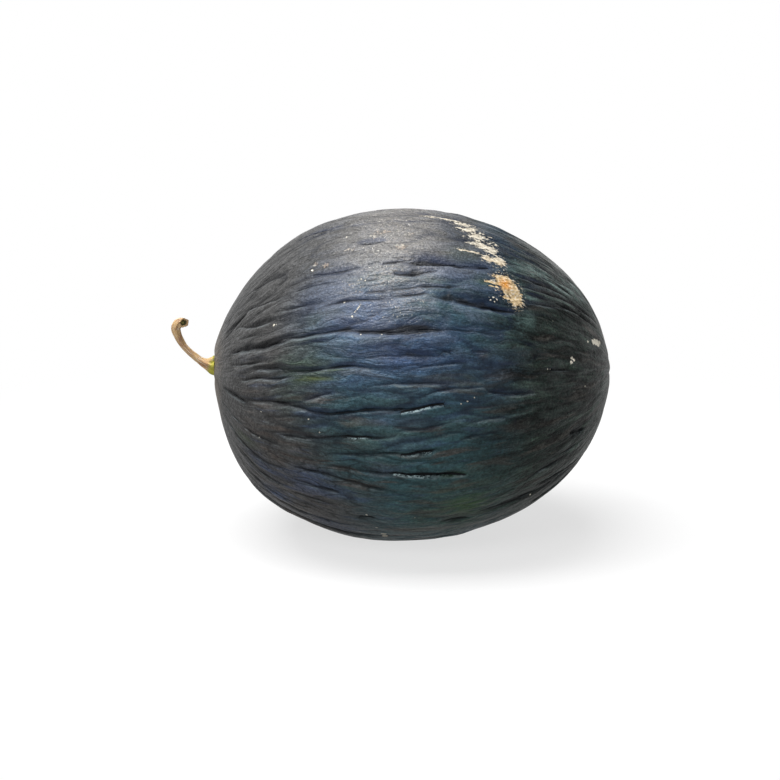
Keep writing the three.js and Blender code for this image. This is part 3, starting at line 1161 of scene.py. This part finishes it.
# In metres. The soft boxes stand over the melon and in front of it.
FLOOR_HALF = 3.0
KEY_PLACE, KEY_WIDTH, KEY_DEPTH = (-0.30, 0.0, 1.2), 0.7, 1.2
FILL_PLACE, FILL_WIDTH, FILL_DEPTH = (-0.45, -1.0, 0.85), 0.6, 0.5
AIM_OFFSET = (-0.011, 0, -0.0079)  # from the melon's middle to where the camera looks


def floor_material():
    """A pale floor that turns into the white background away from the melon."""
    material, g = new_material("pale_floor")
    rays = g.node("ShaderNodeLightPath").outputs
    seen = highest(Value(g, rays["Is Camera Ray"]), Value(g, rays["Is Glossy Ray"]))
    pale = g.mix(seen, (0.35, 0.35, 0.35), (0.85, 0.85, 0.85))
    far = g.value("ShaderNodeTexCoord", output="Object").length()
    white = g.value("ShaderNodeEmission", {"Color": (1, 1, 1, 1), "Strength": 1.0})
    g.surface("ShaderNodeMixShader", {
        0: seen * far.span(0.12, 0.38, 0.68, 1),
        1: g.value("ShaderNodeBsdfDiffuse", {"Color": pale}),
        2: white,
    })
    return material


def add_soft_box(name, place, target, width, depth, watts):
    bpy.ops.object.light_add(type="AREA", location=place)
    lamp = bpy.context.object
    lamp.name = name
    lamp.data.shape = "RECTANGLE"
    lamp.data.size = width
    lamp.data.size_y = depth
    lamp.data.energy = watts
    lamp.rotation_euler = (target - Vector(place)).to_track_quat("-Z", "Y").to_euler()


def white_world(sky):
    """White to the camera, and a soft, even light of strength sky on everything else."""
    world = bpy.data.worlds.new("studio")
    bpy.context.scene.world = world
    world.use_nodes = True
    world.node_tree.nodes.clear()
    g = Graph(world.node_tree)
    rays = g.node("ShaderNodeLightPath").outputs
    seen = highest(Value(g, rays["Is Camera Ray"]), Value(g, rays["Is Transmission Ray"]))
    height = g.value("ShaderNodeTexCoord", output="Generated").parts()[2]
    mirrored = Value(g, rays["Is Glossy Ray"]) * height.span(0.25, 0.6, 1, 0)
    strength = highest(seen, mirrored).span(0, 1, sky, 1)
    back = g.value("ShaderNodeBackground", {"Color": (1, 1, 1, 1), "Strength": strength})
    g.node("ShaderNodeOutputWorld", {"Surface": back})


# ---- Operators

class MELON_OT_add_fruit(bpy.types.Operator):
    """Models the melon's wrinkled body"""

    bl_idname = "mesh.melon_add_fruit"
    bl_label = "Add Melon"

    def execute(self, context):
        settings = context.scene.melon_fruit
        ball = new_ball("fruit_skin", settings.sectors, settings.rings)
        sculpt_fruit(ball, settings)
        finish_piece(ball, "fruit", rind_material(settings))
        return {"FINISHED"}


class MELON_OT_add_stem(bpy.types.Operator):
    """Models the dried stub of the stem"""

    bl_idname = "mesh.melon_add_stem"
    bl_label = "Add Stem"

    def execute(self, context):
        settings = context.scene.melon_stem
        middle = context.scene.melon_fruit.radius - FOOT_FLATTENED
        ball = new_ball("stem_stub", STEM_SECTORS, STEM_RINGS)
        sculpt_stem(ball, settings, middle)
        finish_piece(ball, "stem", stem_material(settings))
        return {"FINISHED"}


class MELON_OT_set_stage(bpy.types.Operator):
    """Adds the floor, the lights and the camera"""

    bl_idname = "scene.melon_set_stage"
    bl_label = "Set Stage"

    def execute(self, context):
        settings = context.scene.melon_stage
        bpy.ops.object.select_all(action="DESELECT")
        bpy.ops.mesh.primitive_plane_add(size=2 * FLOOR_HALF, location=(0, 0, 0))
        floor = context.object
        floor.name = "floor"
        floor.data.materials.append(floor_material())

        middle = Vector((0, 0, context.scene.melon_fruit.radius - FOOT_FLATTENED))
        add_soft_box("key", KEY_PLACE, middle, KEY_WIDTH, KEY_DEPTH, settings.key_power)
        add_soft_box("fill", FILL_PLACE, middle, FILL_WIDTH, FILL_DEPTH, settings.fill_power)
        white_world(settings.sky)

        back = Vector((0, -math.cos(settings.elevation), math.sin(settings.elevation)))
        aim = middle + Vector(AIM_OFFSET)
        bpy.ops.object.camera_add(location=aim + back * settings.distance)
        camera = context.object
        camera.name = "camera"
        camera.rotation_euler = (-back).to_track_quat("-Z", "Y").to_euler()
        camera.data.lens = settings.lens
        context.scene.camera = camera
        context.scene.view_settings.view_transform = "Standard"
        return {"FINISHED"}


class MELON_PT_sidebar(bpy.types.Panel):
    bl_label = "Winter Melon"
    bl_idname = "MELON_PT_sidebar"
    bl_space_type = "VIEW_3D"
    bl_region_type = "UI"
    bl_category = "Melon"

    def draw(self, context):
        layout = self.layout
        groups = (
            (context.scene.melon_fruit, MELON_OT_add_fruit),
            (context.scene.melon_stem, MELON_OT_add_stem),
            (context.scene.melon_stage, MELON_OT_set_stage),
        )
        for settings, operator in groups:
            box = layout.box()
            for name in settings.__annotations__:
                box.prop(settings, name)
            box.operator(operator.bl_idname)


CLASSES = (
    MelonFruitSettings,
    MelonStemSettings,
    MelonStageSettings,
    MELON_OT_add_fruit,
    MELON_OT_add_stem,
    MELON_OT_set_stage,
    MELON_PT_sidebar,
)


def register():
    for cls in CLASSES:
        bpy.utils.register_class(cls)
    bpy.types.Scene.melon_fruit = PointerProperty(type=MelonFruitSettings)
    bpy.types.Scene.melon_stem = PointerProperty(type=MelonStemSettings)
    bpy.types.Scene.melon_stage = PointerProperty(type=MelonStageSettings)


def unregister():
    del bpy.types.Scene.melon_stage
    del bpy.types.Scene.melon_stem
    del bpy.types.Scene.melon_fruit
    for cls in reversed(CLASSES):
        bpy.utils.unregister_class(cls)


def main():
    register()
    bpy.ops.mesh.melon_add_fruit()
    bpy.ops.mesh.melon_add_stem()
    bpy.ops.scene.melon_set_stage()
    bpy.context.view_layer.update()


if __name__ == "__main__":
    main()
